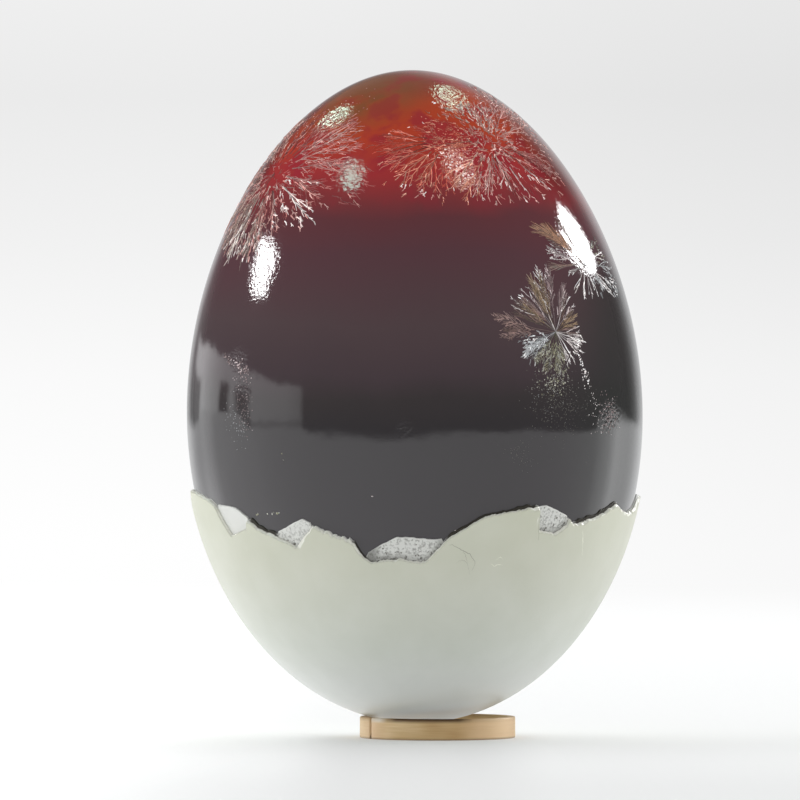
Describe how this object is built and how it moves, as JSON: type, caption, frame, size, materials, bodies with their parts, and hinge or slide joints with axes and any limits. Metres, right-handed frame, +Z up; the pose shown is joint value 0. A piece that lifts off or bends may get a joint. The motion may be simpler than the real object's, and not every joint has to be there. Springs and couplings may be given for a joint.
{
  "type": "century egg",
  "caption": "Half-peeled preserved duck egg of dark jelly with pale crystal ferns, its lower shell still on, standing in a small split wooden ring.",
  "frame": {"origin": "on the surface that the ring stands on, under the middle of the egg", "axes": "+Z up along the egg's length, towards the peeled end; -Y is the front, the side that the picture shows; +X is the picture's right, the side that the ring stands towards"},
  "size_m": [0.0453, 0.0452, 0.0663],
  "materials": {
    "egg_jelly": "dark wine-brown jelly, wet and glossy, redder at the top, with pale fern-like crystals",
    "membrane": "dry white skin, matt, with fine grey specks",
    "eggshell": "pale grey-green, smooth and dull, chalk-white where it is broken",
    "wood": "pale split wood, bare, grain along the strip"
  },
  "bodies": {
    "root": {"egg_white": "egg_jelly", "shell_membrane": "membrane", "eggshell": "eggshell", "wood_ring": "wood"}
  },
  "joints": []
}
